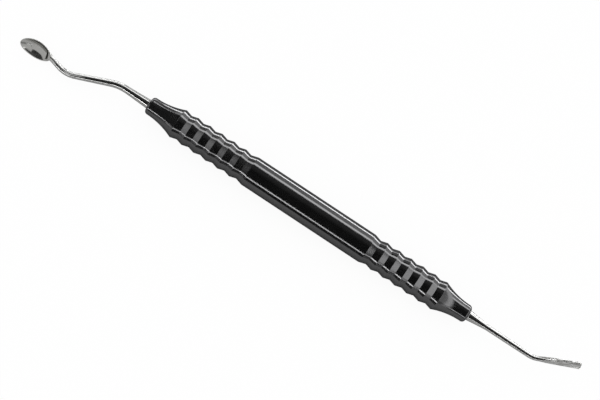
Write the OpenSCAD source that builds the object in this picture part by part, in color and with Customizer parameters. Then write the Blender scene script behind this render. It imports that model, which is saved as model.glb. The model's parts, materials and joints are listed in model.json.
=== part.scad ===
// Double-ended sinus lift curette: a turned handle with a spoon tip and a blade tip.
// It lies at rest, with +X along the handle towards the blade and +Z up.
// The origin is on the handle's axis, halfway along its plain barrel.
// All sizes are in millimetres and all angles in degrees.

/* [Handle] */
// Diameter of the plain barrel
barrel_d = 9; // [8:0.1:11]
// Length of the plain barrel
barrel_l = 38.9; // [24:0.1:60]
// Length of the slope from the barrel's end down to the first groove
shoulder_l = 2.15; // [1.5:0.05:4]
// Number of ridges on each grip
ridge_count = 6; // [3:1:8]
// Distance from one ridge to the next
ridge_pitch = 3.95; // [3:0.05:5]
// Diameter over the ridges
ridge_d = 8.85; // [8.4:0.05:9.4]
// Diameter at the bottom of the grooves
groove_d = 7.8; // [7:0.05:8.2]
// Radius of each ridge's crest and each groove's floor
ridge_round = 0.4; // [0.1:0.05:0.8]

/* [Nose] */
// Length of a nose, from the last ridge to the end of the handle
nose_l = 9.7; // [7:0.1:14]
// Diameter of the nose at its end
nose_d = 5.3; // [4.6:0.05:6.5]
// Straight length at the end of the nose
nose_land = 1.05; // [1:0.05:2]
// Rounding of the nose's outer edge
nose_round = 0.9; // [0.2:0.05:1]

/* [Seats] */
// Diameter of the spoon tip's tang
spoon_tang_d = 2.85; // [2.2:0.05:3.4]
// Diameter of the blade tip's tang
blade_tang_d = 3.2; // [2.2:0.05:3.4]
// Length of each tang inside the handle
tang_l = 12; // [8:0.5:16]
// Radial gap between a tang and its socket
tang_gap = 0.02; // [0.01:0.005:0.05]
// Gap between a tang's end and the floor of its socket
socket_spare = 0.4; // [0.2:0.1:1]
// Width of the flat ledge of a tang around the root of its shank
tang_ledge = 0.05; // [0.02:0.01:0.2]

/* [Spoon shank] */
// Nose to the corner of the first bend
spoon_run_1 = 9.9; // [8:0.1:12]
// Corner of the first bend to the corner of the second
spoon_run_2 = 15.3; // [13:0.1:18]
// Corner of the second bend to the neck of the spoon
spoon_run_3 = 5.9; // [5:0.1:8]
// Turn of the first bend
spoon_turn_1 = 22; // [0:0.5:30]
// Turn of the second bend, back towards the axis
spoon_turn_2 = 36.5; // [10:0.5:45]
// Turn of the neck, away from the axis again
spoon_turn_3 = 18.5; // [0:0.5:30]
// Radius of the first bend, along the middle of the shank
spoon_bend_r1 = 13; // [6:0.5:16]
// Radius of the second bend, along the middle of the shank
spoon_bend_r2 = 8; // [4:0.5:10]
// Radius of the neck's bend, along the middle of the shank
spoon_bend_r3 = 4; // [3:0.5:6]
// Diameter where the root cone ends
spoon_shank_d = 2.1; // [1.6:0.05:2.4]
// Diameter at the neck of the spoon
spoon_neck_d = 1.5; // [1.2:0.05:1.7]
// Length of the root cone
spoon_root_l = 7; // [4:0.5:9]

/* [Spoon] */
// Length from the neck to the tip
spoon_l = 9.7; // [7:0.1:12]
// Width across the rim
spoon_w = 5.3; // [4:0.1:7]
// Depth of the bowl below its rim
bowl_depth = 1.5; // [0.8:0.05:2]
// Wall under the deepest point of the bowl
bowl_wall = 0.4; // [0.25:0.05:0.8]
// Width of the flat land around the rim
rim_land = 0.2; // [0.1:0.05:0.4]
// Thickness of the wall at the rim
rim_t = 0.12; // [0.05:0.01:0.25]
// Height of the rim above the middle of the neck
rim_rise = 0.3; // [0:0.05:0.5]
// Sweep of the rim, which dips this far between the neck and the tip
rim_sweep = 0.6; // [0:0.05:1]
// Place of the widest section, as a share of the spoon's length
widest_at = 0.48; // [0.4:0.01:0.6]
// Turn of the spoon's face about its own length
spoon_twist = 28; // [0:1:60]

/* [Blade shank] */
// Nose to the corner of the bend
blade_run = 21.6; // [15:0.1:30]
// Turn of the bend
blade_turn = 24; // [0:0.5:40]
// Radius of the bend, along the middle of the shank
blade_bend_r = 7; // [4:0.5:10]
// Diameter where the root cone ends
blade_shank_d = 1.65; // [1.5:0.05:2]
// Diameter at the narrow neck behind the blade
blade_neck_d = 1.4; // [1.1:0.05:1.45]
// Length of the root cone
blade_root_l = 6.5; // [4:0.5:9]

/* [Blade] */
// Length from the corner of the bend to the squared end
blade_l = 13.5; // [10:0.1:18]
// Width at the squared end
blade_w = 2.2; // [1.5:0.05:4]
// How late the blade flares, where 1 is a straight flare
blade_flare = 1.4; // [1:0.05:2]
// Thickness at the squared end
blade_t = 0.95; // [0.5:0.05:1]
// Corner radius of the squared end
blade_corner = 0.5; // [0.2:0.05:0.8]
// Length of the shallow hollow in the end of the blade
dish_l = 4; // [3:0.1:6]
// Depth of that hollow
dish_depth = 0.18; // [0.05:0.01:0.25]
// Turn of the blade's face about its own length, where 0 is square to the bend's plane
blade_twist = 52; // [0:1:90]

/* [Lie] */
// Turn of the spoon's bends about the handle, below the level on the -Y side
spoon_droop = 27; // [0:0.5:40]
// Turn of the blade's bend about the handle, above the level on the +Y side
blade_rise = 27; // [0:0.5:40]
// Turn of the round handle about its own axis, so that a faceted copy lies on a flat
handle_turn = 3.9; // [0:0.1:10]

/* [Hidden] */
$fn = 96;

first_groove_x = barrel_l / 2 + shoulder_l;
last_ridge_x = first_groove_x + (ridge_count - 0.5) * ridge_pitch;
handle_half = last_ridge_x + nose_l;
flank_angle = atan((ridge_d - groove_d) / ridge_pitch);

// The nose's hollow curve is one arc, which leaves the last crest smoothly and runs
// level into the nose's land.
curve_run = nose_l - nose_land;
curve_drop = (ridge_d - nose_d) / 2;
curve_r = (curve_run * curve_run + curve_drop * curve_drop) / (2 * curve_drop) - ridge_round;
curve_angle = asin(curve_run / (curve_r + ridge_round));

spoon_path_l = path_length(spoon_legs());
spoon_root_d = spoon_tang_d - 2 * tang_ledge;
blade_root_d = blade_tang_d - 2 * tang_ledge;
blade_path_l = path_length(blade_legs());
shank_overlap = 1;
shank_step = 0.8;
spoon_sides = 28;
spoon_rings = 26;
blade_sides = 24;
blade_rings = 22;

// Each leg of a centreline is [length to its corner, turn there, radius of the bend].
function spoon_legs() = [
    [spoon_run_1, spoon_turn_1, spoon_bend_r1],
    [spoon_run_2, -spoon_turn_2, spoon_bend_r2],
    [spoon_run_3, spoon_turn_3, spoon_bend_r3],
    [spoon_l, 0, 1]
];

function blade_legs() = [
    [blade_run, blade_turn, blade_bend_r],
    [blade_l, 0, 1]
];

// Length that a bend takes from the straight on each side of its corner
function cut_back(leg) = leg.z * tan(abs(leg.y) / 2);

function arc_length(leg) = leg.z * abs(leg.y) * PI / 180;

function path_length(legs, i = 0) =
    i == len(legs) ? 0
    : legs[i].x - 2 * cut_back(legs[i]) + arc_length(legs[i]) + path_length(legs, i + 1);

// Place on a centreline after a distance s, as [x, offset, heading]
function place_at(s, legs, from = [0, 0, 0], used = 0, i = 0) =
    let (
        leg = legs[i],
        straight = leg.x - used - cut_back(leg),
        corner = ahead(from, straight),
        past = s - straight
    )
    past <= 0 || i == len(legs) - 1 ? ahead(from, s)
    : past <= arc_length(leg) ? around(corner, leg, past)
    : place_at(past - arc_length(leg), legs, around(corner, leg, arc_length(leg)), cut_back(leg), i + 1);

function ahead(from, s) = [from.x + s * cos(from.z), from.y + s * sin(from.z), from.z];

function around(from, leg, s) =
    let (
        side = sign(leg.y),
        heading = from.z + side * s / leg.z * 180 / PI
    )
    [
        from.x + side * leg.z * (sin(heading) - sin(from.z)),
        from.y - side * leg.z * (cos(heading) - cos(from.z)),
        heading
    ];

// Smooth step from 0 at a to 1 at b
function ease(s, a, b) = let (t = min(1, max(0, (s - a) / (b - a)))) t * t * (3 - 2 * t);

function mix(a, b, t) = a + (b - a) * t;

// Points on an arc about a centre, from one angle to another
function arc(centre, r, from, to, steps) = [
    for (i = [0:steps]) let (a = mix(from, to, i / steps)) centre + r * [cos(a), sin(a)]
];

// The rounded crest of the ridge at x, which falls away at the angle leave
function crest(x, leave) =
    arc([x, ridge_d / 2 - ridge_round], ridge_round, 90 + flank_angle, 90 - leave, 4);

// The rounded floor of the groove at x
function groove(x) =
    arc([x, groove_d / 2 + ridge_round], ridge_round, 270 - flank_angle, 270 + flank_angle, 3);

// Outline of one half of the handle as [x, radius], from the barrel's end to the nose
function half_outline() = concat(
    [[barrel_l / 2, barrel_d / 2]],
    [
        for (i = [0:ridge_count - 1])
            let (
                x = first_groove_x + i * ridge_pitch,
                leave = i < ridge_count - 1 ? flank_angle : curve_angle
            )
            each concat(groove(x), crest(x + ridge_pitch / 2, leave))
    ],
    nose_outline()
);

function nose_outline() =
    let (
        nose_r = nose_d / 2,
        curve_end = handle_half - nose_land,
        curve = arc([curve_end, nose_r + curve_r], curve_r, 270 - curve_angle, 270, 18),
        edge = arc([handle_half - nose_round, nose_r - nose_round], nose_round, 90, 0, 6)
    )
    concat([for (k = [1:len(curve) - 1]) curve[k]], edge);

function mirrored(points) = [for (i = [len(points) - 1:-1:0]) [-points[i].x, points[i].y]];

module handle_profile() {
    half = half_outline();
    polygon([
        for (p = concat([[-handle_half, 0]], mirrored(half), half, [[handle_half, 0]])) [p.y, p.x]
    ]);
}

module socket(tang_d) {
    depth = tang_l + socket_spare;
    translate([handle_half - depth, 0, 0])
        rotate([0, 90, 0]) cylinder(d = tang_d + 2 * tang_gap, h = depth + 1);
}

module handle() {
    color("#17181b") difference() {
        rotate([handle_turn, 0, 0]) rotate([0, 90, 0]) rotate_extrude() handle_profile();
        socket(blade_tang_d);
        mirror([1, 0, 0]) socket(spoon_tang_d);
    }
}

// Solid between rings of points, each ring with the same number
module loft(rings) {
    count = len(rings[0]);
    last = len(rings) - 1;
    polyhedron(
        points = [for (ring = rings) each ring],
        faces = concat(
            [[for (j = [0:count - 1]) j]],
            [
                for (i = [0:last - 1], j = [0:count - 1])
                    let (a = i * count + j, b = i * count + (j + 1) % count)
                    each [[a, a + count, b], [b, a + count, b + count]]
            ],
            [[for (j = [count - 1:-1:0]) last * count + j]]
        )
    );
}

// A section's points are [across, up]. This sets them square to the centreline at s,
// with up turned by twist from the side towards the bend's own normal.
function set_section(section, s, legs, twist) =
    let (
        at = place_at(s, legs),
        side = [-sin(at.z), cos(at.z), 0],
        normal = [0, 0, 1],
        up = cos(twist) * normal + sin(twist) * side,
        across = cos(twist) * side - sin(twist) * normal
    )
    [for (p = section) [handle_half + at.x, at.y, 0] + p.x * across + p.y * up];

// Diameter of a shank: a root cone that eases into a long slow taper down to the neck
function shank_d(s, root_d, root_l, mid_d, neck_d, neck_s) =
    s < root_l
        ? mix(mid_d, root_d, pow(1 - max(0, s) / root_l, 1.2))
        : mix(mid_d, neck_d, (s - root_l) / (neck_s - root_l));

// A section has this many points, which start half a step up from its first side.
function half_step(j, sides) = 360 * (j + 0.5) / sides;

function round_section(d, sides) = [
    for (j = [0:sides - 1]) let (a = half_step(j, sides)) d / 2 * [cos(a), sin(a)]
];

// Half width of the spoon's outline at a share u of its length
function spoon_half_w(u) =
    u < widest_at
        ? spoon_w / 2 * sqrt(1 - pow(1 - u / widest_at, 1.7))
        : spoon_w / 2 * sqrt(1 - pow((u - widest_at) / (1 - widest_at), 2));

// Section of the spoon: a round neck that opens into a bowl with a flat land on its rim.
// Across its width, the bowl and the back are both parabolas.
function spoon_section(u) =
    let (
        x = u * spoon_l,
        neck_r = spoon_neck_d / 2,
        outline = spoon_half_w(u),
        half_w = u < widest_at ? pow(pow(neck_r, 4) + pow(outline, 4), 1 / 4) : outline,
        face_share = ease(x, 0.2, 2),
        back_share = ease(x, 0, 3.5),
        inner_w = max(half_w - rim_land, half_w * 0.2),
        inner_depth = bowl_depth * pow(max(0, half_w - rim_land) / (spoon_w / 2 - rim_land), 2),
        outer_depth = (bowl_depth + bowl_wall - rim_t) * pow(half_w / (spoon_w / 2), 2),
        rim_y = rim_rise - rim_sweep * sin(180 * pow(u, 1.2)),
        half = spoon_sides / 2
    )
    concat(
        [
            for (j = [0:half - 1])
                let (
                    a = half_step(j, spoon_sides),
                    land = j == 0 || j == half - 1,
                    q = land ? half_w * (j == 0 ? 1 : -1) : inner_w * cos(180 * (j - 1) / (half - 3)),
                    floor_y = rim_y - (land ? 0 : inner_depth * (1 - pow(q / inner_w, 2)))
                )
                mix([half_w * cos(a), neck_r * sin(a)], [q, floor_y], face_share)
        ],
        [
            for (j = [0:half - 1])
                let (
                    a = half_step(j, spoon_sides),
                    q = -half_w * cos(180 * j / (half - 1)),
                    back_y = rim_y - rim_t - outer_depth * (1 - pow(q / half_w, 2))
                )
                mix([-half_w * cos(a), -neck_r * sin(a)], [q, back_y], back_share)
        ]
    );

// Section of the blade at a distance b from its neck: round, then wider, thinner and
// squarer, and hollowed a little at the end of the face that looks away from the bend
function blade_section(b, length) =
    let (
        left = max(0, b - (length - blade_corner)),
        corner_cut = blade_corner - sqrt(max(0, pow(blade_corner, 2) - pow(left, 2))),
        w = mix(blade_neck_d, blade_w, pow(b / length, blade_flare)) - 2 * corner_cut,
        t = mix(blade_neck_d, blade_t, ease(b, 0, length)),
        square = mix(2, 8, ease(b, 0, length / 2)),
        dish = dish_depth * ease(b, length - dish_l, length - dish_l / 2)
    )
    [
        for (j = [0:blade_sides - 1])
            let (
                a = half_step(j, blade_sides),
                q = w / 2 * cos(a),
                p = t / 2 * sign(sin(a)) * pow(1 - pow(abs(cos(a)), square), 1 / square),
                hollow = p < 0 ? dish * max(0, 1 - pow(q / (0.42 * w), 2)) : 0
            )
            [q, p + hollow]
    ];

module tang(d) {
    translate([handle_half - tang_l, 0, 0]) rotate([0, 90, 0]) cylinder(d = d, h = tang_l);
}

// Both tips are drawn along +X with their bends towards +Y, and then turned to their lie.
module spoon_shape() {
    legs = spoon_legs();
    neck_s = spoon_path_l - spoon_l;
    steps = ceil((neck_s + shank_overlap) / shank_step);
    shank = [
        for (i = [0:steps - 1])
            let (
                s = mix(-shank_overlap, neck_s, i / steps),
                d = shank_d(s, spoon_root_d, spoon_root_l, spoon_shank_d, spoon_neck_d, neck_s)
            )
            set_section(round_section(d, spoon_sides), s, legs, spoon_twist)
    ];
    spoon = [
        for (i = [0:spoon_rings - 1])
            let (u = (1 - cos(176 * i / (spoon_rings - 1))) / 2)
            set_section(spoon_section(u), neck_s + u * spoon_l, legs, spoon_twist)
    ];
    loft(concat(shank, spoon));
}

module blade_shape() {
    legs = blade_legs();
    neck_s = blade_run - cut_back(legs[0]) + arc_length(legs[0]);
    flat_l = blade_path_l - neck_s;
    steps = ceil((neck_s + shank_overlap) / shank_step);
    shank = [
        for (i = [0:steps - 1])
            let (
                s = mix(-shank_overlap, neck_s, i / steps),
                d = shank_d(s, blade_root_d, blade_root_l, blade_shank_d, blade_neck_d, neck_s)
            )
            set_section(round_section(d, blade_sides), s, legs, 90 + blade_twist)
    ];
    blade = [
        for (i = [0:blade_rings])
            let (b = flat_l * sin(90 * i / blade_rings))
            set_section(blade_section(b, flat_l), neck_s + b, legs, 90 + blade_twist)
    ];
    loft(concat(shank, blade));
}

module spoon_tip() {
    color("silver") rotate([spoon_droop, 0, 0]) rotate([0, 0, 180]) {
        tang(spoon_tang_d);
        spoon_shape();
    }
}

module blade_tip() {
    color("silver") rotate([blade_rise, 0, 0]) {
        tang(blade_tang_d);
        blade_shape();
    }
}

handle();
spoon_tip();
blade_tip();
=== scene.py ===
import json
import math

import bpy
import numpy as np
from mathutils import Matrix, Vector


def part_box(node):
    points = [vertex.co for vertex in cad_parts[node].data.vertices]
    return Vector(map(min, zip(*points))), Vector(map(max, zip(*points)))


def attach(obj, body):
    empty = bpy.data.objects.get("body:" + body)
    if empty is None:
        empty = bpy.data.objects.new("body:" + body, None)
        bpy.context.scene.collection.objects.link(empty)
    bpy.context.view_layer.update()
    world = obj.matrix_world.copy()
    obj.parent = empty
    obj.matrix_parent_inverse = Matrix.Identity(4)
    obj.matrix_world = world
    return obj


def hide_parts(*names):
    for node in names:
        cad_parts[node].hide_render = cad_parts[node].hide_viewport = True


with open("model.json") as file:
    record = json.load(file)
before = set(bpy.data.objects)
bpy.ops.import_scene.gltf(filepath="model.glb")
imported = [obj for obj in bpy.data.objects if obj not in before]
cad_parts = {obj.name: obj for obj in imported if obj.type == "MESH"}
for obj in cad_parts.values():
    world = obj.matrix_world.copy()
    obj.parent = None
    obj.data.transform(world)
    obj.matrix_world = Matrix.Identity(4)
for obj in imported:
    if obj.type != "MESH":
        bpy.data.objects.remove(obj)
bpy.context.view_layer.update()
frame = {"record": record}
print("frame loaded")

millimetre = 0.001

# The plain barrel is the record's own mount, and the handle's end comes from its node.
barrelMount = frame["record"]["mounts"][0]["dims"]
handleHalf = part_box("handle")[1].x / millimetre


def ease(value, start, end):
    # Smooth step: 3 t^2 - 2 t^3, where t runs from 0 at start to 1 at end
    t = np.clip((value - start) / (end - start), 0, 1)
    return t * t * (3 - 2 * t)


def mix(a, b, share):
    return a + (b - a) * share


def arcPoints(centre, radius, fromDeg, toDeg, steps):
    # Centre + radius * (cos a, sin a), with a in even steps from one angle to the other
    angles = np.radians(np.linspace(fromDeg, toDeg, steps + 1))
    return np.column_stack([centre[0] + radius * np.cos(angles), centre[1] + radius * np.sin(angles)])


def closedSurface(name, rings, startPole, endPole, body="root"):
    # A grid of rings, each with the same number of points, closed by a fan to a pole at each end.
    # The signed volume, a third of the sum of point . (edge x edge), says if the faces point out.
    count, sides = rings.shape[:2]
    points = np.concatenate([rings.reshape(-1, 3), [startPole, endPole]]) * millimetre
    here = np.arange(sides)
    after = (here + 1) % sides
    starts = np.arange(count - 1)[:, None] * sides
    quads = np.stack([starts + here, starts + after, starts + sides + after, starts + sides + here], -1)
    quads = quads.reshape(-1, 4)
    last = (count - 1) * sides
    poleA = np.full(sides, count * sides)
    poleB = poleA + 1
    startFan = np.stack([poleA, after, here], -1)
    endFan = np.stack([poleB, last + here, last + after], -1)
    fans = np.concatenate([startFan, endFan])
    triangles = np.concatenate([quads[:, [0, 1, 2]], quads[:, [0, 2, 3]], fans])
    a, b, c = (points[triangles[:, k]] for k in range(3))
    if np.einsum("ij,ij->i", a, np.cross(b, c)).sum() < 0:
        quads = quads[:, ::-1]
        fans = fans[:, ::-1]
    mesh = bpy.data.meshes.new(name)
    mesh.from_pydata(points, [], quads.tolist() + fans.tolist())
    mesh.shade_smooth()
    piece = bpy.data.objects.new(name, mesh)
    bpy.context.scene.collection.objects.link(piece)
    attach(piece, body)
    print(name, "has", 2 * len(quads) + len(fans), "triangles")
    return piece


def addGrain(piece, along, around, satin, ground):
    # Two attributes of the points: "grain" is (mm along, turn around, how streaky its grinding
    # is), and "satin" is how matt they are
    mesh = piece.data
    grain = np.zeros((len(mesh.vertices), 3), np.float32)
    grain[:, 2] = ground
    grain[: along.size, 0] = along.ravel()
    grain[: along.size, 1] = around.ravel()
    matt = np.zeros(len(mesh.vertices), np.float32)
    matt[: satin.size] = satin.ravel()
    matt[-1] = satin.ravel()[-1]
    mesh.attributes.new("grain", "FLOAT_VECTOR", "POINT").data.foreach_set("vector", grain.ravel())
    mesh.attributes.new("satin", "FLOAT", "POINT").data.foreach_set("value", matt)


# The handle: one turned bar with twelve ridges, two hollow-curved noses and a socket in each
handleTurning = {
    "sides": 128,
    "shoulderLength": 2.15,
    "shoulderRound": 1.2,
    "ridges": 6,
    "ridgePitch": 3.95,
    "ridgeRadius": 4.425,
    "grooveRadius": 3.9,
    "ridgeRound": 0.4,
    "noseLength": 9.7,
    "noseRadius": 2.65,
    "noseLand": 1.05,
    "noseRound": 0.9,
    "socketDepth": 12.4,
    "socketEdge": 0.06,
    "socketCorner": 0.02,
}


def nosePoints(size, flank, curveRadius, curveAngle):
    # The hollow curve is one arc that ends level with the nose's land, and the edge is another
    curve = arcPoints(
        (handleHalf - size["noseLand"], size["noseRadius"] + curveRadius),
        curveRadius,
        270 - curveAngle,
        270,
        60,
    )
    edgeCentre = (handleHalf - size["noseRound"], size["noseRadius"] - size["noseRound"])
    edge = arcPoints(edgeCentre, size["noseRound"], 90, 0, 16)
    return np.concatenate([curve[1:], edge])


def socketPoints(size, socketRadius):
    # From the nose's face over a small edge, down the socket's wall to its floor
    lip = size["socketEdge"]
    corner = size["socketCorner"]
    floor = handleHalf - size["socketDepth"]
    edge = arcPoints((handleHalf - lip, socketRadius + lip), lip, 0, -90, 4)
    edge[:, 1] = np.maximum(edge[:, 1], socketRadius)
    return np.concatenate([edge, [[floor + corner, socketRadius], [floor, socketRadius - corner]]])


def halfOutline(size, socketRadius):
    # Half of the bar's outline as (x, radius): shoulder, then each ridge's groove arc, flank,
    # crest arc and flank, and after the last crest the nose and its socket
    barrelEnd = barrelMount["length_mm"] / 2
    barrelRadius = barrelMount["r_mm"]
    rise = size["ridgeRadius"] - size["grooveRadius"]
    flank = math.degrees(math.atan(2 * rise / size["ridgePitch"]))
    small = size["ridgeRound"]
    run = size["noseLength"] - size["noseLand"]
    drop = size["ridgeRadius"] - size["noseRadius"]
    curveRadius = (run * run + drop * drop) / (2 * drop) - small
    curveAngle = math.degrees(math.asin(run / (curveRadius + small)))

    bend = size["shoulderRound"]
    lead = bend * math.tan(math.radians(flank / 2))
    shoulder = arcPoints((barrelEnd - lead, barrelRadius - bend), bend, 90, 90 - flank, 12)

    grooveX = barrelEnd + size["shoulderLength"] + np.arange(size["ridges"]) * size["ridgePitch"]
    leave = np.where(np.arange(size["ridges"]) < size["ridges"] - 1, flank, curveAngle)
    steps = np.linspace(0, 1, 11)
    grooveAngle = np.radians(mix(270 - flank, 270 + flank, steps))
    grooveArc = np.stack(
        [
            grooveX[:, None] + small * np.cos(grooveAngle),
            np.tile(size["grooveRadius"] + small + small * np.sin(grooveAngle), (size["ridges"], 1)),
        ],
        -1,
    )
    crestAngle = np.radians(mix(90 + flank, 90 - leave[:, None], steps))
    crestArc = np.stack(
        [
            grooveX[:, None] + size["ridgePitch"] / 2 + small * np.cos(crestAngle),
            size["ridgeRadius"] - small + small * np.sin(crestAngle),
        ],
        -1,
    )
    shares = np.array([0.05, 0.5, 0.95])[None, :, None]
    upFlank = mix(grooveArc[:, -1:], crestArc[:, :1], shares)
    nextGroove = np.concatenate([grooveArc[1:, :1], crestArc[-1:, -1:]])
    downFlank = mix(crestArc[:, -1:], nextGroove, shares)
    ridges = np.concatenate([grooveArc, upFlank, crestArc, downFlank], 1).reshape(-1, 2)
    ridges = ridges[: len(ridges) - shares.size]
    return np.concatenate(
        [
            [[barrelEnd / 2, barrelRadius], [barrelEnd - 1, barrelRadius]],
            shoulder,
            ridges,
            nosePoints(size, flank, curveRadius, curveAngle),
            socketPoints(size, socketRadius),
        ]
    )


def makeHandle(size, spoonSocket, bladeSocket):
    # Each outline point (x, r) becomes the ring (x, r sin a, r cos a)
    left = halfOutline(size, spoonSocket)[::-1] * np.array([-1, 1])
    outline = np.concatenate([left, halfOutline(size, bladeSocket)])
    angles = np.linspace(0, 2 * math.pi, size["sides"], endpoint=False)
    x, r = outline[:, :1], outline[:, 1:]
    rings = np.stack([x + 0 * angles, r * np.sin(angles), r * np.cos(angles)], -1)
    floor = handleHalf - size["socketDepth"]
    piece = closedSurface("handle_bar", rings, (-floor, 0, 0), (floor, 0, 0))
    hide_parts("handle")
    return piece


# Both tips are carried along a centreline of straight legs and arcs
def centreline(legs):
    # Each leg is (length to its corner, turn there in degrees, radius). An arc takes
    # radius * tan(turn / 2) from the straight on each side of its corner.
    # Rows of the result: start distance, x, offset, heading and curvature.
    rows = []
    s, x, y, heading, used = 0.0, 0.0, 0.0, 0.0, 0.0
    for length, turn, radius in legs:
        cut = radius * math.tan(math.radians(abs(turn)) / 2)
        straight = length - used - cut
        rows.append((s, x, y, heading, 0.0))
        s += straight
        x += straight * math.cos(heading)
        y += straight * math.sin(heading)
        used = cut
        if turn:
            curvature = math.copysign(1 / radius, turn)
            rows.append((s, x, y, heading, curvature))
            ahead = heading + math.radians(turn)
            x += (math.sin(ahead) - math.sin(heading)) / curvature
            y -= (math.cos(ahead) - math.cos(heading)) / curvature
            s += radius * math.radians(abs(turn))
            heading = ahead
    return np.array(rows), s


def alongCentreline(rows, s):
    # Straight: start + s (cos h, sin h). Arc: start + (sin h2 - sin h, cos h - cos h2) / curvature.
    index = np.clip(np.searchsorted(rows[:, 0], s, "right") - 1, 0, len(rows) - 1)
    start, x, y, heading, curvature = rows[index].T
    past = s - start
    turned = heading + curvature * past
    safe = np.where(curvature == 0, 1, curvature)
    dx = np.where(curvature == 0, past * np.cos(heading), (np.sin(turned) - np.sin(heading)) / safe)
    dy = np.where(curvature == 0, past * np.sin(heading), (np.cos(heading) - np.cos(turned)) / safe)
    return x + dx, y + dy, turned


def carry(sections, s, rows, twist):
    # Sets each section's (across, up) square to the centreline, with up turned from the
    # bend's normal towards its side by twist
    x, y, heading = alongCentreline(rows, s)
    none = np.zeros_like(x)
    side = np.stack([-np.sin(heading), np.cos(heading), none], -1)
    normal = np.array([0.0, 0.0, 1.0])
    turn = math.radians(twist)
    up = math.cos(turn) * normal + math.sin(turn) * side
    across = math.cos(turn) * side - math.sin(turn) * normal
    base = np.stack([handleHalf + x, y, none], -1)
    return base[:, None] + sections[..., :1] * across[:, None] + sections[..., 1:] * up[:, None]


def roll(points, degrees):
    # Turns points about the handle's axis: (x, y cos t - z sin t, y sin t + z cos t)
    t = math.radians(degrees)
    x, y, z = np.moveaxis(points, -1, 0)
    return np.stack([x, y * math.cos(t) - z * math.sin(t), y * math.sin(t) + z * math.cos(t)], -1)


def roundSections(diameter, cosines, sines):
    return np.stack([diameter[:, None] / 2 * cosines, diameter[:, None] / 2 * sines], -1)


def tangAndShank(tip, neckDistance, cosines, sines):
    # The tang is a cylinder with a broken edge, then a flat ledge, then the shank: a root cone
    # that eases out as (1 - s / rootLength)^rootPower and a long slow taper down to the neck
    tang, depth, edge = tip["tangDiameter"], tip["tangLength"], tip["tangEdge"]
    tangS = np.array([-depth, -depth, edge - depth, -depth / 2, -0.02, 0.0])
    tangD = np.array([0.6 * tang, tang - 2 * edge, tang, tang, tang, tang - 0.04])
    root = tang - 2 * tip["tangLedge"]
    s = np.linspace(0, neckDistance, int(neckDistance / tip["ringStep"]), endpoint=False)
    rootShare = np.clip(1 - s / tip["rootLength"], 0, 1)
    cone = mix(tip["shankDiameter"], root, rootShare ** tip["rootPower"])
    share = (s - tip["rootLength"]) / (neckDistance - tip["rootLength"])
    taper = mix(tip["shankDiameter"], tip["neckDiameter"], share)
    d = np.where(s < tip["rootLength"], cone, taper)
    s = np.concatenate([tangS, s])
    return s, roundSections(np.concatenate([tangD, d]), cosines, sines)


# The spoon tip: a twice-bent shank that opens into a bowl with a swept rim
spoonTip = {
    "tangDiameter": 2.85,
    "tangLength": 12.0,
    "tangEdge": 0.15,
    "tangLedge": 0.05,
    "tangGap": 0.02,
    "legs": ((9.9, 22, 13), (15.3, -36.5, 8), (5.9, 18.5, 4), (9.7, 0, 1)),
    "shankDiameter": 2.1,
    "neckDiameter": 1.5,
    "rootLength": 7.0,
    "rootPower": 1.2,
    "ringStep": 0.15,
    "sides": 120,
    "spoonRings": 150,
    "spoonLength": 9.7,
    "spoonWidth": 5.3,
    "bowlDepth": 1.5,
    "bowlWall": 0.4,
    "rimLand": 0.2,
    "rimThickness": 0.12,
    "rimSoftness": 0.05,
    "rimRise": 0.3,
    "rimSweep": 0.6,
    "widestAt": 0.48,
    "outlinePower": 1.7,
    "neckPower": 4,
    "sweepPower": 1.2,
    "faceEase": (0.2, 2),
    "backEase": (0, 3.5),
    "satinEase": (-1, 1.5),
    "twist": 28,
    "roll": 27,
}


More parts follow.
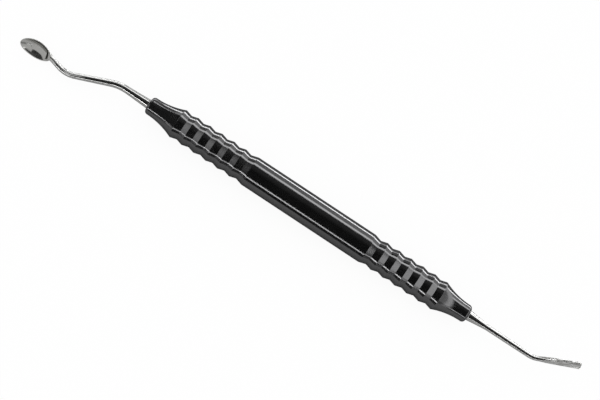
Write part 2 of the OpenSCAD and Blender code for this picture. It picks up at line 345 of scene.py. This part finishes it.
def spoonSections(tip, u, angles):
    # The outline's half width is W/2 sqrt(1 - (1 - u/m)^outlinePower) up to the widest place m,
    # and an ellipse's after it, joined to the round neck as (neck^n + outline^n)^(1/n).
    # Across the width q, the bowl is rim - depth (1 - (q/inner)^2), held up to the rim's land
    # by a soft ramp (h + sqrt(h^2 + e^2)) / 2, and the back is a deeper parabola.
    # The rim's edge is round, and both sides ease out of the round neck.
    neck = tip["neckDiameter"] / 2
    half = tip["spoonWidth"] / 2
    land, thick, widest = tip["rimLand"], tip["rimThickness"], tip["widestAt"]
    x = u * tip["spoonLength"]
    power = tip["neckPower"]
    before = np.sqrt(np.clip(1 - np.clip(1 - u / widest, 0, 1) ** tip["outlinePower"], 0, 1))
    after = np.sqrt(np.clip(1 - ((u - widest) / (1 - widest)) ** 2, 0, 1))
    outline = half * np.where(u < widest, before, after)
    halfW = np.where(u < widest, (neck**power + outline**power) ** (1 / power), outline)
    q = halfW * np.cos(angles)
    reach = np.abs(q)

    rimY = tip["rimRise"] - tip["rimSweep"] * np.sin(math.pi * u ** tip["sweepPower"])
    edge = np.minimum(thick / 2, 0.4 * halfW)
    over = np.clip(reach - (halfW - edge), 0, edge)
    fall = edge - np.sqrt(edge**2 - over**2)

    innerW = np.maximum(halfW - land, 0.2 * halfW)
    innerDepth = tip["bowlDepth"] * (np.clip(halfW - land, 0, None) / (half - land)) ** 2
    dip = innerDepth * (1 - (q / innerW) ** 2)
    soft = tip["rimSoftness"] * np.clip(innerDepth / tip["bowlDepth"], 0, 1)
    bowl = rimY - fall - 0.5 * (dip + np.sqrt(dip**2 + soft**2))

    outerDepth = (tip["bowlDepth"] + tip["bowlWall"] - thick) * (halfW / half) ** 2
    slope = np.arctan(2 * outerDepth / halfW)
    edgeQ = halfW - edge + edge * np.sin(slope)
    edgeY = rimY - edge - edge * np.cos(slope)
    backDepth = thick + outerDepth - edge - edge * np.cos(slope)
    back = np.where(
        reach > edgeQ,
        rimY - edge - np.sqrt(edge**2 - over**2),
        edgeY - backDepth * (1 - (q / edgeQ) ** 2),
    )
    face = np.sin(angles) >= -1e-9
    roundNeck = neck * np.sin(angles)
    bowl = mix(roundNeck, bowl, ease(x, *tip["faceEase"]))
    back = mix(roundNeck, back, ease(x, *tip["backEase"]))
    return np.stack([q, np.where(face, bowl, back)], -1)


def makeSpoonTip(tip):
    rows, pathLength = centreline(tip["legs"])
    neckDistance = pathLength - tip["spoonLength"]
    angles = np.linspace(0, 2 * math.pi, tip["sides"], endpoint=False)
    shankS, shank = tangAndShank(tip, neckDistance, np.cos(angles), np.sin(angles))
    u = (1 - np.cos(np.radians(np.linspace(0, 179.6, tip["spoonRings"])))) / 2
    spoonS = neckDistance + u * tip["spoonLength"]
    sections = np.concatenate([shank, spoonSections(tip, u[:, None], angles[None, :])])
    s = np.concatenate([shankS, spoonS])
    rings = carry(sections, s, rows, tip["twist"])
    middle = np.array([[[0, tip["rimRise"] - tip["rimThickness"] / 2]]])
    tipEnd = carry(middle, np.array([pathLength]), rows, tip["twist"])[0, 0]
    tangEnd = np.array([handleHalf - tip["tangLength"], 0, 0])
    rings, tangEnd, tipEnd = (
        roll(points * np.array([-1, -1, 1]), tip["roll"]) for points in (rings, tangEnd, tipEnd)
    )
    piece = closedSurface("spoon_curette", rings, tangEnd, tipEnd)
    satin = ease(s - neckDistance, *tip["satinEase"])
    size = np.ones((len(s), tip["sides"]))
    addGrain(piece, s[:, None] * size, angles * size, satin[:, None] * size, 0)
    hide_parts("spoon_tip")
    return piece


# The blade tip: a once-bent shank that flattens, flares and ends square, with a shallow hollow
bladeTip = {
    "tangDiameter": 3.2,
    "tangLength": 12.0,
    "tangEdge": 0.15,
    "tangLedge": 0.05,
    "tangGap": 0.02,
    "legs": ((21.6, 24, 7), (13.5, 0, 1)),
    "shankDiameter": 1.65,
    "neckDiameter": 1.4,
    "rootLength": 6.5,
    "rootPower": 1.2,
    "ringStep": 0.15,
    "edgePoints": 8,
    "facePoints": 16,
    "bladeRings": 90,
    "width": 2.2,
    "flare": 1.4,
    "thickness": 0.95,
    "corner": 0.5,
    "endRound": 0.06,
    "dishLength": 4.0,
    "dishDepth": 0.18,
    "dishShare": 0.42,
    "squareness": (2, 8),
    "satinEase": (0, 3),
    "twist": 142,
    "roll": 27,
}


def squarePoints(power, edgePoints, facePoints):
    # Points of |q|^n + |p|^n = 1: even steps of p up the narrow side as far as the corner at
    # 2^(-1/n), then even steps of q across the face, and the same mirrored round the section
    corner = 2 ** (-1 / power)
    up = corner * np.arange(edgePoints) / edgePoints
    across = corner * (1 - np.arange(facePoints) / facePoints)
    q = np.concatenate([(1 - up**power) ** (1 / power), across], 1)
    p = np.concatenate([up, (1 - across**power) ** (1 / power)], 1)
    top = np.concatenate([np.zeros_like(corner), np.ones_like(corner)], 1)
    halfQ = np.concatenate([q, top[:, :1], -q[:, :0:-1]], 1)
    halfP = np.concatenate([p, top[:, 1:], p[:, :0:-1]], 1)
    return np.concatenate([halfQ, -halfQ], 1), np.concatenate([halfP, -halfP], 1)


def bladeSections(tip, b, length):
    # Width grows as (b / length)^flare, thickness and squareness ease from round to flat,
    # the plan's corners are arcs, the end's edge is round, and the hollow is a parabola
    left = np.clip(b - (length - tip["corner"]), 0, tip["corner"])
    cornerCut = tip["corner"] - np.sqrt(tip["corner"] ** 2 - left**2)
    width = mix(tip["neckDiameter"], tip["width"], (b / length) ** tip["flare"]) - 2 * cornerCut
    thick = mix(tip["neckDiameter"], tip["thickness"], ease(b, 0, length))
    power = mix(*tip["squareness"], ease(b, 0, length / 2))
    q, p = squarePoints(power, tip["edgePoints"], tip["facePoints"])
    over = np.clip(b - (length - tip["endRound"]), 0, tip["endRound"])
    fall = tip["endRound"] - np.sqrt(tip["endRound"] ** 2 - over**2)
    dish = tip["dishDepth"] * ease(b, length - tip["dishLength"], length - tip["dishLength"] / 2)
    q = q * (width / 2 - fall)
    hollow = dish * np.clip(1 - (q / (tip["dishShare"] * width)) ** 2, 0, 1)
    p = p * (thick / 2 - fall) + np.where(p < 0, hollow, 0)
    return np.stack([q, p], -1)


def makeBladeTip(tip):
    rows, pathLength = centreline(tip["legs"])
    neckDistance = rows[-1, 0]
    flat = pathLength - neckDistance
    two = np.full((1, 1), 2.0)
    cosines, sines = squarePoints(two, tip["edgePoints"], tip["facePoints"])
    shankS, shank = tangAndShank(tip, neckDistance, cosines, sines)
    b = flat * np.sin(np.radians(np.linspace(0, 90, tip["bladeRings"])))
    sections = np.concatenate([shank, bladeSections(tip, b[:, None], flat)])
    s = np.concatenate([shankS, neckDistance + b])
    rings = roll(carry(sections, s, rows, tip["twist"]), tip["roll"])
    start = roll(np.array([handleHalf - tip["tangLength"], 0, 0]), tip["roll"])
    piece = closedSurface("blade_elevator", rings, start, rings[-1].mean(0))
    sides = rings.shape[1]
    satin = ease(s - neckDistance, *tip["satinEase"])
    size = np.ones((len(s), sides))
    around = np.linspace(0, 2 * math.pi, sides, endpoint=False)
    addGrain(piece, s[:, None] * size, around * size, satin[:, None] * size, 1)
    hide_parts("blade_tip")
    return piece


handleBar = makeHandle(
    handleTurning,
    spoonTip["tangDiameter"] / 2 + spoonTip["tangGap"],
    bladeTip["tangDiameter"] / 2 + bladeTip["tangGap"],
)
spoonCurette = makeSpoonTip(spoonTip)
bladeElevator = makeBladeTip(bladeTip)
print("pieces made")


class Wire:
    # One socket of a shader node; arithmetic on it adds Math nodes
    def __init__(self, pad, socket):
        self.pad = pad
        self.socket = socket

    def sum(self, operation, *values):
        return self.pad.add("ShaderNodeMath", {"operation": operation}, dict(enumerate(values)))

    def __add__(self, other):
        return self.sum("ADD", self, other)

    def __radd__(self, other):
        return self.sum("ADD", other, self)

    def __sub__(self, other):
        return self.sum("SUBTRACT", self, other)

    def __rsub__(self, other):
        return self.sum("SUBTRACT", other, self)

    def __mul__(self, other):
        return self.sum("MULTIPLY", self, other)

    def __rmul__(self, other):
        return self.sum("MULTIPLY", other, self)

    def __truediv__(self, other):
        return self.sum("DIVIDE", self, other)

    def over(self, start, end):
        # 0 below start, 1 above end, smooth between
        settings = {"interpolation_type": "SMOOTHSTEP"}
        values = {"Value": self, "From Min": start, "From Max": end}
        return self.pad.add("ShaderNodeMapRange", settings, values)

    def band(self, low, high, soft):
        return self.over(low - soft, low + soft) * (1 - self.over(high - soft, high + soft))


class Pad:
    # A material's or the world's node tree
    def __init__(self, tree):
        self.tree = tree
        tree.nodes.clear()

    def add(self, kind, settings=None, values=None, out=0):
        node = self.tree.nodes.new(kind)
        for name, value in (settings or {}).items():
            setattr(node, name, value)
        for key, value in (values or {}).items():
            if isinstance(value, Wire):
                self.tree.links.new(value.socket, node.inputs[key])
            else:
                node.inputs[key].default_value = value
        return Wire(self, node.outputs[out] if node.outputs else None)

    def blend(self, factor, first, second):
        # Colours through the Mix node, whose colour sockets are numbers 6, 7 and output 2
        settings = {"data_type": "RGBA"}
        return self.add("ShaderNodeMix", settings, {0: factor, 6: first, 7: second}, out=2)

    def noise(self, place, scale, detail):
        values = {"Vector": place, "Scale": scale, "Detail": detail}
        return self.add("ShaderNodeTexNoise", None, values)

    def bump(self, height, distance):
        values = {"Strength": 1.0, "Distance": distance, "Height": height}
        return self.add("ShaderNodeBump", None, values)


def splitVector(pad, vector):
    parts = pad.tree.nodes.new("ShaderNodeSeparateXYZ")
    pad.tree.links.new(vector.socket, parts.inputs[0])
    return [Wire(pad, output) for output in parts.outputs]


def newMaterial(name):
    material = bpy.data.materials.new(name)
    material.use_nodes = True
    return material, Pad(material.node_tree)


# Black anodised aluminium: dark, glossy and evenly reflecting, with a fine blasted grain
blackFinish = {
    "dark": (0.145, 0.145, 0.148, 1),
    "light": (0.175, 0.175, 0.177, 1),
    "edgeTint": (0.45, 0.45, 0.45, 1),
    "roughness": (0.09, 0.15),
    "grainPerMetre": 3200,
    "grainDetail": 3,
    "cloudPerMetre": 260,
    "cloudDetail": 2,
    "noiseSpan": (0.35, 0.65),
    "grainHeight": 0.000006,
}


def paintHandle(finish):
    material, pad = newMaterial("blackAnodised")
    place = pad.add("ShaderNodeTexCoord", out=3)
    grain = pad.noise(place, finish["grainPerMetre"], finish["grainDetail"])
    cloud = pad.noise(place, finish["cloudPerMetre"], finish["cloudDetail"])
    colour = pad.blend(grain.over(*finish["noiseSpan"]), finish["dark"], finish["light"])
    low, high = finish["roughness"]
    roughness = low + (high - low) * (0.5 * grain + 0.5 * cloud).over(*finish["noiseSpan"])
    bump = pad.bump(grain, finish["grainHeight"])
    shader = pad.add(
        "ShaderNodeBsdfPrincipled",
        None,
        {
            "Base Color": colour,
            "Metallic": 1.0,
            "Roughness": roughness,
            "Specular Tint": finish["edgeTint"],
            "Normal": bump,
        },
    )
    pad.add("ShaderNodeOutputMaterial", None, {"Surface": shader})
    return material


# Steel: bright drawn shanks, and matt spoon and blade with fine polishing marks
steelFinish = {
    "bright": (0.66, 0.66, 0.65, 1),
    "matt": (0.58, 0.58, 0.56, 1),
    "edgeTint": (0.3, 0.3, 0.3, 1),
    "brightRoughness": 0.06,
    "mattRoughness": 0.14,
    "marksAlong": 1.2,
    "marksAround": 14.0,
    "marksDetail": 4,
    "markHeight": 0.000002,
    "cloudPerMetre": 900,
    "cloudDetail": 3,
    "unevenness": 0.03,
    "streaksAlong": 0.35,
    "streaksAround": 2.2,
    "streaksDetail": 1,
    "streakSpan": (0.5, 0.58),
    "streakColour": (0.86, 0.86, 0.85, 1),
    "streakRoughness": 0.25,
}


def paintSteel(finish):
    material, pad = newMaterial("tipSteel")
    grain = pad.add("ShaderNodeAttribute", {"attribute_name": "grain"}, out=1)
    satin = pad.add("ShaderNodeAttribute", {"attribute_name": "satin"}, out=2)
    stretch = {"Vector": grain, "Scale": (finish["marksAlong"], finish["marksAround"], 1)}
    marks = pad.noise(pad.add("ShaderNodeMapping", None, stretch), 1.0, finish["marksDetail"])
    place = pad.add("ShaderNodeTexCoord", out=3)
    cloud = pad.noise(place, finish["cloudPerMetre"], finish["cloudDetail"])
    stretch = {"Vector": grain, "Scale": (finish["streaksAlong"], finish["streaksAround"], 0)}
    broad = pad.noise(pad.add("ShaderNodeMapping", None, stretch), 1.0, finish["streaksDetail"])
    isGround = splitVector(pad, grain)[2]
    streak = broad.over(*finish["streakSpan"]) * isGround * satin
    colour = pad.blend(satin, finish["bright"], finish["matt"])
    colour = pad.blend(streak, colour, finish["streakColour"])
    rough = finish["brightRoughness"] + (finish["mattRoughness"] - finish["brightRoughness"]) * satin
    rough = rough + finish["unevenness"] * (cloud - 0.5) + finish["unevenness"] * (marks - 0.5)
    rough = rough + finish["streakRoughness"] * streak
    bump = pad.bump(marks, finish["markHeight"])
    shader = pad.add(
        "ShaderNodeBsdfPrincipled",
        None,
        {
            "Base Color": colour,
            "Metallic": 1.0,
            "Roughness": rough,
            "Specular Tint": finish["edgeTint"],
            "Normal": bump,
        },
    )
    pad.add("ShaderNodeOutputMaterial", None, {"Surface": shader})
    return material


handleBar.data.materials.append(paintHandle(blackFinish))
steel = paintSteel(steelFinish)
spoonCurette.data.materials.append(steel)
bladeElevator.data.materials.append(steel)
print("finishes painted")


# The studio, as the part's reflections see it: angles about the handle's axis are in degrees
# from straight up towards the front, places along it are shares of a direction's length, and
# the floor's places are in metres
studio = {
    "floorSize": 6.0,
    "floorGlow": 0.93,
    "floorPlain": 0.9,
    # The next three levels and the three places after them are painted light and shade that only
    # reflections see: light past the spoon's end, a dimmer level elsewhere, and a painted shadow in
    # front of the part
    "floorPaintedLight": 0.58,
    "floorLit": 0.42,
    "floorPaintedShade": 0.03,
    "spoonFloor": (-0.092, -0.082),
    "shadeStart": (-0.042, -0.032),
    "bladeFloor": (0.05, 0.07),
    "softLevel": 1.05,
    "leftToRight": (-0.35, 0.35),
    "panelEdge": (-35, -29),
    "panelLevel": (0.08, 0.02),
    "panelFade": (-15, 15),
    "wallLevel": (0.27, 0.75),
    "frame": (-47, -33, 2),
    "frameLevel": (2.2, 1.7),
    "strip": (-92, -82, 1),
    "stripLevel": 7.6,
    "stripGap": (-0.29, -0.16, 0.02),
    "gapDepth": 0.8,
    "line": (71.5, 77.5, 1),
    "lineLevel": (5.2, 2.2),
    "dash": (-58, -46, 2),
    "dashSide": (-0.45, -0.28, 0.02),
    "leftSide": (-0.72, -0.58, 0.04),
    "leftLevel": 0.95,
    "rightSide": (0.55, 0.58),
    "rightFrame": (0.55, 0.69, 0.015),
    "rightLevel": 1.44,
    "rightFall": (60, 70),
    "rightFallDepth": 0.5,
    "rightEnd": (88, 96),
    "farLevel": 0.48,
}


def grey(level):
    return (level, level, level, 1)


def seenBy(pad):
    # Two wires: 1 for camera rays, and 1 for glossy ones
    rays = pad.tree.nodes.new("ShaderNodeLightPath")
    return [Wire(pad, rays.outputs[name]) for name in ("Is Camera Ray", "Is Glossy Ray")]


def flatSheet(name, corners, material):
    mesh = bpy.data.meshes.new(name)
    mesh.from_pydata([Vector(c) for c in corners], [], [(0, 1, 2, 3)])
    mesh.materials.append(material)
    sheet = bpy.data.objects.new(name, mesh)
    bpy.context.scene.collection.objects.link(sheet)
    return sheet


def layFloor(room, height):
    # The camera sees a glowing white card that keeps a little of the part's shadow. Reflections see the
    # card
    # with painted light and shade: painted light past the spoon, a painted shadow in front of the
    # handle, and a dimmer painted level elsewhere.
    material, pad = newMaterial("paleFloor")
    camera, glossy = seenBy(pad)
    x, y = splitVector(pad, pad.add("ShaderNodeTexCoord", out=3))[:2]
    # Painted shade and light for reflections: a painted shadow in front of the part, painted light past
    # the spoon's end, and a dimmer painted level between
    inLight = y.sum("MAXIMUM", y.over(*room["shadeStart"]), x.over(*room["bladeFloor"]))
    shade = pad.blend(inLight, grey(room["floorPaintedShade"]), grey(room["floorLit"]))
    shade = pad.blend(x.over(*room["spoonFloor"]), grey(room["floorPaintedLight"]), shade)
    # Reflections get these painted levels, other rays the card's own colour
    plain = pad.blend(glossy, grey(room["floorPlain"]), shade)
    card = pad.add("ShaderNodeBsdfDiffuse", None, {"Color": plain})
    white = pad.add("ShaderNodeEmission", None, {"Color": grey(1), "Strength": 1.0})
    both = pad.add("ShaderNodeMixShader", None, {0: camera * room["floorGlow"], 1: card, 2: white})
    pad.add("ShaderNodeOutputMaterial", None, {"Surface": both})
    half = room["floorSize"] / 2
    square = ((-half, -half), (half, -half), (half, half), (-half, half))
    return flatSheet("floor", [(x, y, height) for x, y in square], material)


def lightRoom(room):
    # Camera rays see white, diffuse ones an even soft light. Glossy ones see a dark panel
    # overhead with a lit frame, a wall behind with a bright strip and a dark dash in it,
    # one thin line in front, a pale wall at the left and a framed grey one at the right.
    world = bpy.data.worlds.new("room")
    world.use_nodes = True
    bpy.context.scene.world = world
    pad = Pad(world.node_tree)
    camera, glossy = seenBy(pad)
    x, y, z = splitVector(pad, pad.add("ShaderNodeTexCoord", out=0))
    around = x.sum("ARCTAN2", -1 * y, z) * (180 / math.pi)
    rightwards = x.over(*room["leftToRight"])

    def fromLeft(levels):
        return levels[0] + (levels[1] - levels[0]) * rightwards

    far, near = room["panelLevel"]
    panel = far + (near - far) * around.over(*room["panelFade"])
    behind = 1 - around.over(*room["panelEdge"])
    middle = panel + behind * (fromLeft(room["wallLevel"]) - panel)
    middle = middle + around.band(*room["frame"]) * fromLeft(room["frameLevel"])
    gap = 1 - room["gapDepth"] * x.band(*room["stripGap"])
    middle = middle + around.band(*room["strip"]) * gap * room["stripLevel"]
    middle = middle + around.band(*room["line"]) * fromLeft(room["lineLevel"])
    middle = middle * (1 - around.band(*room["dash"]) * x.band(*room["dashSide"]))

    left = x.band(*room["leftSide"])
    right = x.over(*room["rightSide"]) * (1 - around.over(*room["rightEnd"]))
    frameGlow = x.band(*room["rightFrame"]) * (room["rightLevel"] - room["farLevel"])
    rightFall = 1 - room["rightFallDepth"] * around.over(*room["rightFall"])
    rightGlow = (room["farLevel"] + frameGlow) * rightFall
    walls = middle * (1 - left) * (1 - right) + left * room["leftLevel"] + right * rightGlow
    level = camera + (1 - camera) * (glossy * walls + (1 - glossy) * room["softLevel"])
    background = pad.add("ShaderNodeBackground", None, {"Color": grey(1), "Strength": level})
    pad.add("ShaderNodeOutputWorld", None, {"Surface": background})


floorHeight = min(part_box("handle")[0].z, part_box("spoon_tip")[0].z)
layFloor(studio, floorHeight)
lightRoom(studio)


# Small cards near the left end, as (brightness, corners in millimetres)
smallCards = {
    "leftCard": (0.55, ((-115, -12, -4), (-115, 20, -4), (-115, 20, 2), (-115, -12, 18))),
    "frontCard": (0.55, ((-115, -12, -4), (-85, -12, -4), (-85, -12, 13), (-115, -12, 17))),
    "rightCard": (0.55, ((-79, -20, 1), (-79, -9, 5), (-86.5, -4, 27), (-82.6, -20, 33))),
    "noseCard": (0.04, ((-54.5, -14, 4.6), (-54.5, 9, 4.6), (-54.5, 9, 15), (-54.5, -14, 15))),
    "farCard": (0.04, ((-120, -60, -4), (-120, 30, -4), (-120, 30, 70), (-120, -60, 70))),
}


def standCard(name, level, corners):
    # Only reflections see the card
    material, pad = newMaterial(name)
    glow = pad.add("ShaderNodeEmission", None, {"Color": grey(1), "Strength": level})
    pad.add("ShaderNodeOutputMaterial", None, {"Surface": glow})
    card = flatSheet(name, [Vector(corner) * millimetre for corner in corners], material)
    card.visible_camera = False
    card.visible_diffuse = False
    card.visible_shadow = False


for cardName, (cardLevel, cardCorners) in smallCards.items():
    standCard(cardName, cardLevel, cardCorners)
print("studio lit")


# The camera looks down from the front, rolled so that the handle runs down to the right
lookout = {
    "tiltDeg": 25,
    "rollDeg": 33.43,
    "pixelsPerMillimetre": 3.6,
    "imageSize": (600, 400),
    "originPixel": (308.5, 209.7),
    "lens": 65,
    "sensor": 36,
}


def placeCamera(view):
    # The long lens's distance gives the scale: pixels across * lens / (sensor * scale)
    tilt, roll = math.radians(view["tiltDeg"]), math.radians(view["rollDeg"])
    along = Vector((1, 0, 0))
    level = Vector((0, math.cos(tilt), math.sin(tilt)))
    right = along * math.cos(roll) + level * math.sin(roll)
    up = level * math.cos(roll) - along * math.sin(roll)
    back = right.cross(up)
    scale = view["pixelsPerMillimetre"] / millimetre
    width, height = view["imageSize"]
    target = right * (width / 2 - view["originPixel"][0]) / scale
    target += up * (view["originPixel"][1] - height / 2) / scale
    distance = width * view["lens"] / (view["sensor"] * scale)
    camera = bpy.data.cameras.new("camera")
    camera.lens = view["lens"]
    camera.sensor_width = view["sensor"]
    camera.clip_start, camera.clip_end = 0.05, 20
    lens = bpy.data.objects.new("camera", camera)
    bpy.context.scene.collection.objects.link(lens)
    turn = Matrix((right, up, back)).transposed().to_4x4()
    lens.matrix_world = Matrix.Translation(target + back * distance) @ turn
    bpy.context.scene.camera = lens


placeCamera(lookout)
bpy.context.scene.view_settings.view_transform = "Standard"
print("camera placed")
